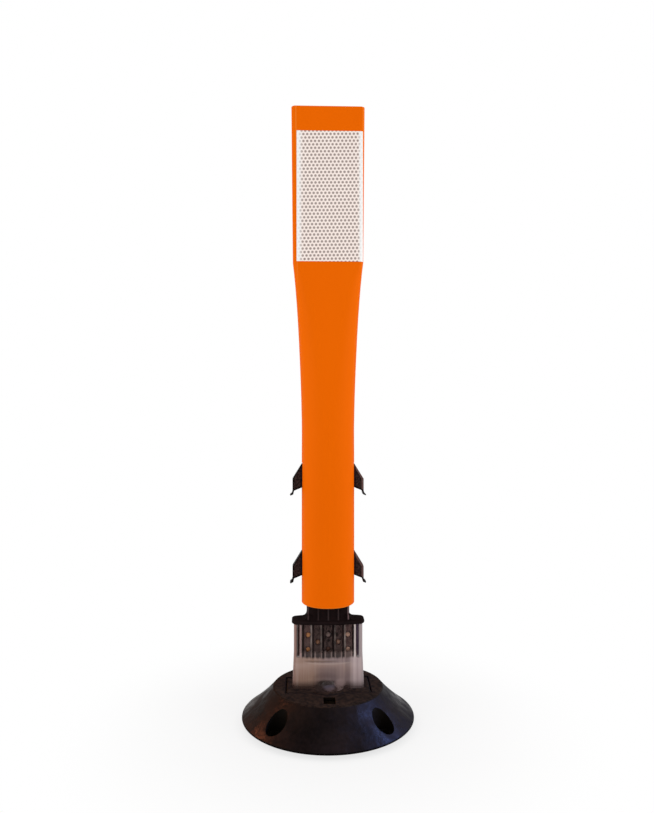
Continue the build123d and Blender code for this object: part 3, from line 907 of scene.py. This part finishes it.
# %% [markdown]
# The plugs near the middle look brown, the outer ones glow amber, and the upper plug at the middle
# carries a greyish painted highlight. Eight materials could say that, but one that reads the place
# is easier to keep in tune.

# %% Amber finish
amber = new_finish("amber_plug")
x, _, z = amber.xyz()
speck = amber.noise(900.0, 2.0)
near_end = abs(x).rise(6 * MM, 20 * MM)
warm = x.rise(30 * MM, -30 * MM)
outer_amber = amber.mix(warm, shade(234, 186, 164), shade(236, 158, 100))
# painted highlight on the upper plug at the middle
top_highlight = abs(x).rise(6 * MM, 3 * MM) * z.rise(HOLE_MIDDLE_Z, HOLE_MIDDLE_Z + 5 * MM)
tone = amber.paint(
    amber.mix(near_end, shade(118, 80, 66), outer_amber),
    # painted highlight on the upper middle plug
    (top_highlight, shade(170, 144, 138)),
    (speck.rise(0.35, 0.7) * 0.4, shade(84, 50, 34)),
)
amber_plug = amber.surface(
    Base_Color=tone,
    Roughness=0.25 + speck * 0.15,
    Specular_IOR_Level=0.3,
)
plugs.data.materials.append(amber_plug)
print(plugs.name, "wear", amber_plug.name)

# %% [markdown]
# ## Stem root
#
# The stem runs into the flange in a hollow curve at its two narrow sides. A bevel between two boxes
# would round all four sides, and here only two are curved. So a low block as wide as the curve's
# foot is cut across a few times, and each ring is drawn in to the arc's width at its height.

# %% Stem root
STEM_WIDTH, ROOT_DEPTH, ROOT_RADIUS, ROOT_RINGS = 49.0 * MM, 20.6 * MM, 5.5 * MM, 7
root_width = STEM_WIDTH + 2 * ROOT_RADIUS


def root_scale(height):
    """How far a ring of the root is drawn in at a height above the flange."""
    stand_out = ROOT_RADIUS - (ROOT_RADIUS ** 2 - (ROOT_RADIUS - height) ** 2) ** 0.5
    return ((STEM_WIDTH + 2 * stand_out) / root_width, 1, 1)


bpy.ops.object.select_all(action="DESELECT")
bpy.ops.mesh.primitive_cube_add(
    size=1.0,
    location=(0, 0, STEM_LOW + ROOT_RADIUS / 2),
    scale=(root_width, ROOT_DEPTH, ROOT_RADIUS),
)
root = bpy.context.object
root.name = "stem_root"
settle(root)
draw_in_rings(root, STEM_LOW, ROOT_RADIUS, ROOT_RINGS, root_scale)
bpy.ops.object.shade_smooth_by_angle(angle=radians(35))
root.data.materials.append(black_connector)
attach(root, "post")
tell_size("stem root", root)

# %% [markdown]
# ## Floor
#
# The post stands on a plain white floor that fades to pure white away from it. More light would
# whiten the floor, but it would bleach the post too. So the floor itself shows white to the camera,
# a little less near the base, where the base's soft shadow stays, and not at all under the base.

# %% Floor
FLOOR_SIZE, FLOOR_DROP = 30.0, 0.2 * MM
UNDER_OUTER, UNDER_INNER = 86 * MM, 80 * MM
FADE_START, FADE_END, NEAR_WHITE = 90 * MM, 320 * MM, 0.74
bpy.ops.object.select_all(action="DESELECT")
bpy.ops.mesh.primitive_plane_add(size=FLOOR_SIZE, location=(0, 0, -FLOOR_DROP))
ground = bpy.context.object
ground.name = "floor"


def background_rays(finish):
    """1 for rays that show the background: seen, mirrored or through glass."""
    names = ("Is Camera Ray", "Is Glossy Ray", "Is Transmission Ray")
    return sum(finish.add("ShaderNodeLightPath", out=name) for name in names)


paper = new_finish("white_floor")
x, y, _ = paper.xyz()
distance = span(x, y)
under = distance.rise(UNDER_OUTER, UNDER_INNER)
whiteness = (1 - under) * (NEAR_WHITE + distance.rise(FADE_START, FADE_END) * (1 - NEAR_WHITE))
plain = paper.add("ShaderNodeBsdfDiffuse", {"Color": (0.9, 0.9, 0.9)})
white = paper.add("ShaderNodeEmission", {"Color": (1.0, 1.0, 1.0), "Strength": 1.0})
shown = background_rays(paper) * whiteness
both = paper.add("ShaderNodeMixShader", {0: shown, 1: plain, 2: white})
paper.add("ShaderNodeOutputMaterial", {"Surface": both})
ground.data.materials.append(paper.owner)
ground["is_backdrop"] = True
print(ground.name, "is", FLOOR_SIZE, "m wide and wears", paper.owner.name)

# %% [markdown]
# ## Light
#
# The light is soft and plain: a bright room and a large soft box at each side, which keep the tube
# even. The room shows as white behind the post, but lights it at a lower strength, so that colours
# come out about as they are written.

# %% Room
ROOM_LIGHT = 0.66
world = bpy.data.worlds.new("studio")
bpy.context.scene.world = world
room = Finish(world)
strength = ROOM_LIGHT + background_rays(room).rise(0.0, 1.0) * (1.0 - ROOM_LIGHT)
glow = room.add("ShaderNodeBackground", {"Color": (1.0, 1.0, 1.0), "Strength": strength})
room.add("ShaderNodeOutputWorld", {"Surface": glow})
print("the room lights the post at", ROOM_LIGHT)

# %% [markdown]
# The dark skirt has a faint sheen, warm at the left and blue at the right. Tinting the soft boxes
# would tint the tube as well. So two small lamps, one warm and one cool, are linked to the base and
# the foot plate alone.


# %% Lamps
def lamp(name, place, aim, size, watts, colour=(1.0, 1.0, 1.0)):
    """A soft rectangular lamp that looks at a point."""
    data = bpy.data.lights.new(name, "AREA")
    data.shape = "RECTANGLE"
    data.size, data.size_y = size
    data.energy = watts
    data.color = colour
    obj = bpy.data.objects.new(name, data)
    obj.location = place
    obj.rotation_euler = (Vector(aim) - Vector(place)).to_track_quat("-Z", "Y").to_euler()
    bpy.context.scene.collection.objects.link(obj)
    print("lamp", name, watts, "W")
    return obj


def shine_only_on(lamp_object, node_names):
    """Keeps a lamp's light to a few CAD nodes."""
    lit = bpy.data.collections.new(lamp_object.name + "_target")
    for name in node_names:
        lit.objects.link(nodes[name])
    lamp_object.light_linking.receiver_collection = lit
    lamp_object.light_linking.blocker_collection = lit


MIDDLE, SKIRT = (0, 0, 0.35), (0, 0, 0.03)
WARM, COOL = (1.0, 0.28, 0.12), (0.24, 0.37, 1.0)
SOFT_BOX = (0.9, 1.3)
lamp("right_soft_box", place=(1.5, -0.60, 0.8), aim=MIDDLE, size=SOFT_BOX, watts=10.0)
lamp("left_soft_box", place=(-1.5, -0.60, 0.8), aim=MIDDLE, size=SOFT_BOX, watts=9.0)
warm_side = lamp("warm_side", (-0.62, 0.33, 0.60), SKIRT, (0.2, 0.2), watts=7.5, colour=WARM)
cool_side = lamp("cool_side", (0.72, 0.02, 0.66), SKIRT, (0.62, 0.2), watts=32.0, colour=COOL)
for side_lamp in (warm_side, cool_side):
    shine_only_on(side_lamp, ("base", "foot_plate"))

# %% [markdown]
# ## Measure and finish
#
# The dressed model has to stay as large as the CAD model, so both boxes are written down.

# %% Size and finish
seen_low, seen_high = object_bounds()
print("visual box in mm:", list(map(in_mm, seen_low)), list(map(in_mm, seen_high)))
